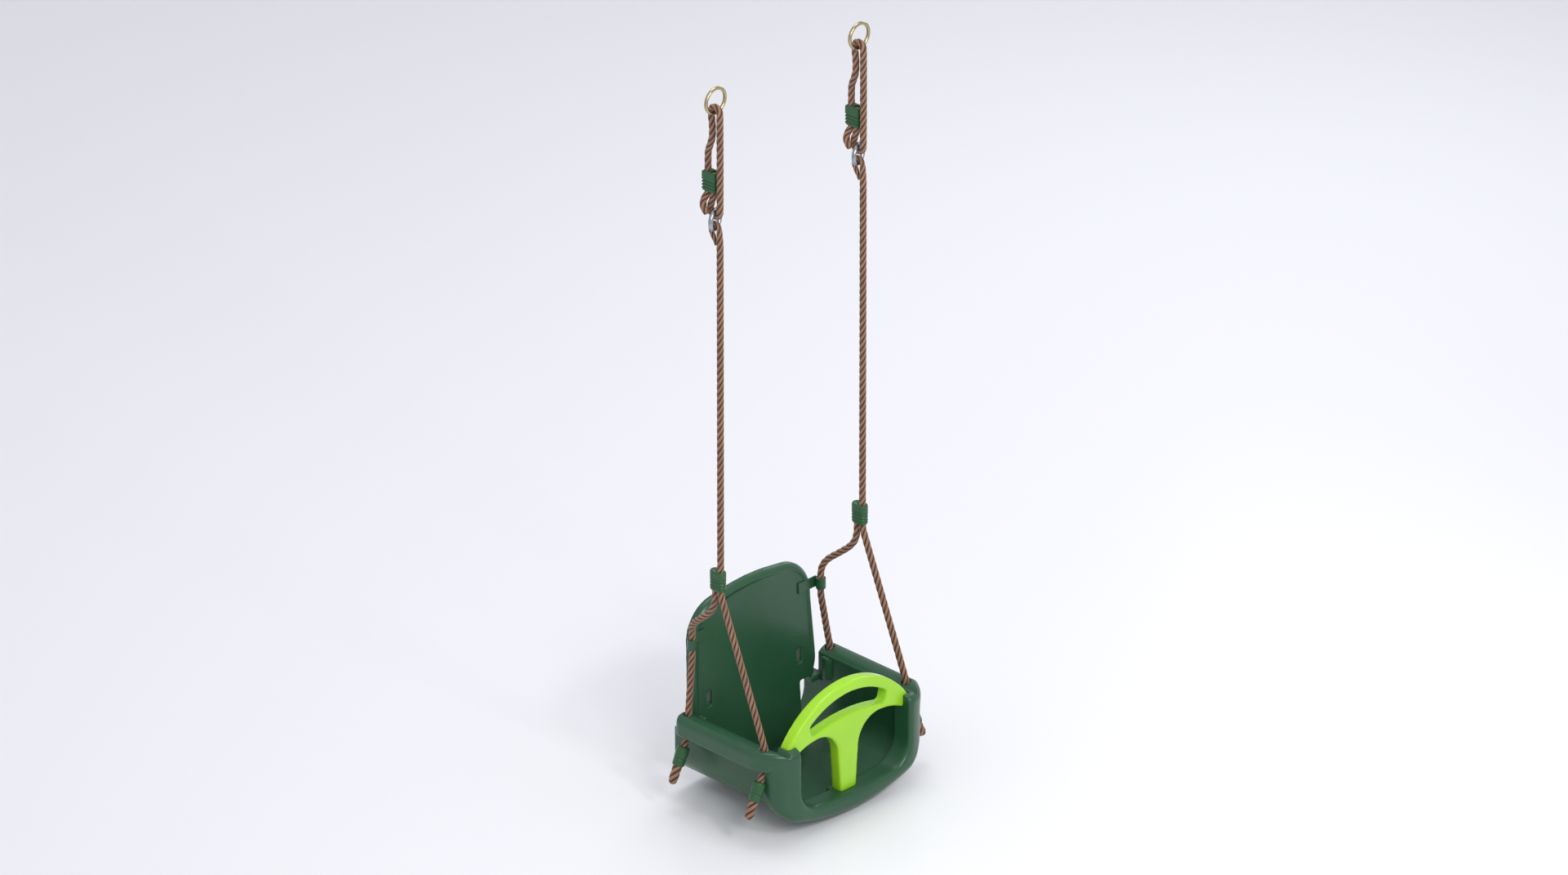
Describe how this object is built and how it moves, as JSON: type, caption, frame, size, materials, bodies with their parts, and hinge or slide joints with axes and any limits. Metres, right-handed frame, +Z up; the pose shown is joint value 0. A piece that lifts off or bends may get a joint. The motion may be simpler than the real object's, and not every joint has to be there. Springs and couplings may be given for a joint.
{
  "type": "toddler bucket swing",
  "caption": "Moulded toddler swing seat with backrest and T-shaped crossbar, hung on two twisted ropes with length adjusters and hanging rings.",
  "frame": {"origin": "midway between the centres of the two hanging rings", "axes": "+X across the seat towards its right side seen from the front, -Y towards the front of the seat, +Z up"},
  "size_m": [0.445, 0.287, 1.4082],
  "materials": {
    "brass_ring": "polished pale brass",
    "steel_ring": "satin zinc-plated steel",
    "rope": "brown three-strand twisted rope",
    "sleeve_plastic": "satin moulded plastic, mid green",
    "seat_plastic": "satin moulded plastic, dark green, fine grain",
    "bar_plastic": "glossy lime green moulded plastic"
  },
  "bodies": {
    "hanging_rings": {"hanging_ring_left": "brass_ring", "hanging_ring_right": "brass_ring"},
    "left_adjuster": {"adjuster_rope_left": "rope"},
    "right_adjuster": {"adjuster_rope_right": "rope"},
    "left_slider": {"slider_block_left": "sleeve_plastic"},
    "right_slider": {"slider_block_right": "sleeve_plastic"},
    "left_link": {"link_ring_left": "steel_ring"},
    "right_link": {"link_ring_right": "steel_ring"},
    "seat": {"main_rope_left": "rope", "back_rope_left": "rope", "rope_junction_left": "sleeve_plastic", "stop_sleeve_front_left": "sleeve_plastic", "stop_collar_front_left": "sleeve_plastic", "stop_sleeve_back_left": "sleeve_plastic", "stop_collar_back_left": "sleeve_plastic", "rope_strap_left": "seat_plastic", "main_rope_right": "rope", "back_rope_right": "rope", "rope_junction_right": "sleeve_plastic", "stop_sleeve_front_right": "sleeve_plastic", "stop_collar_front_right": "sleeve_plastic", "stop_sleeve_back_right": "sleeve_plastic", "stop_collar_back_right": "sleeve_plastic", "rope_strap_right": "seat_plastic", "seat_shell": "seat_plastic", "backrest": "seat_plastic"},
    "crossbar": {"crossbar": "bar_plastic"}
  },
  "joints": [
    {"name": "left_swing", "type": "hinge", "parent": "hanging_rings", "child": "left_adjuster", "pos_m": [-0.176, 0, -0.023], "axis": [1, 0, 0], "range_deg": [-40, 40]},
    {"name": "right_swing", "type": "hinge", "parent": "hanging_rings", "child": "right_adjuster", "pos_m": [0.176, 0, -0.023], "axis": [1, 0, 0], "range_deg": [-40, 40]},
    {"name": "left_link_pivot", "type": "hinge", "parent": "left_adjuster", "child": "left_link", "pos_m": [-0.176, 0.001, -0.2093], "axis": [1, 0, 0], "range_deg": [-15, 15]},
    {"name": "right_link_pivot", "type": "hinge", "parent": "right_adjuster", "child": "right_link", "pos_m": [0.176, 0.001, -0.2093], "axis": [1, 0, 0], "range_deg": [-15, 15]},
    {"name": "seat_pivot", "type": "hinge", "parent": "left_link", "child": "seat", "pos_m": [-0.176, 0.001, -0.2447], "axis": [1, 0, 0], "range_deg": [-20, 20]},
    {"name": "left_slider_travel", "type": "slide", "parent": "left_adjuster", "child": "left_slider", "axis": [0, 0, 1], "range_m": [0, 0.03]},
    {"name": "right_slider_travel", "type": "slide", "parent": "right_adjuster", "child": "right_slider", "axis": [0, 0, 1], "range_m": [0, 0.03]},
    {"name": "crossbar_lift", "type": "slide", "parent": "seat", "child": "crossbar", "axis": [0, 0, 1], "range_m": [0, 0.12]}
  ],
  "couplings": [
    {"joint": "right_swing", "follows": "left_swing", "ratio": 1},
    {"joint": "right_link_pivot", "follows": "left_link_pivot", "ratio": 1}
  ]
}
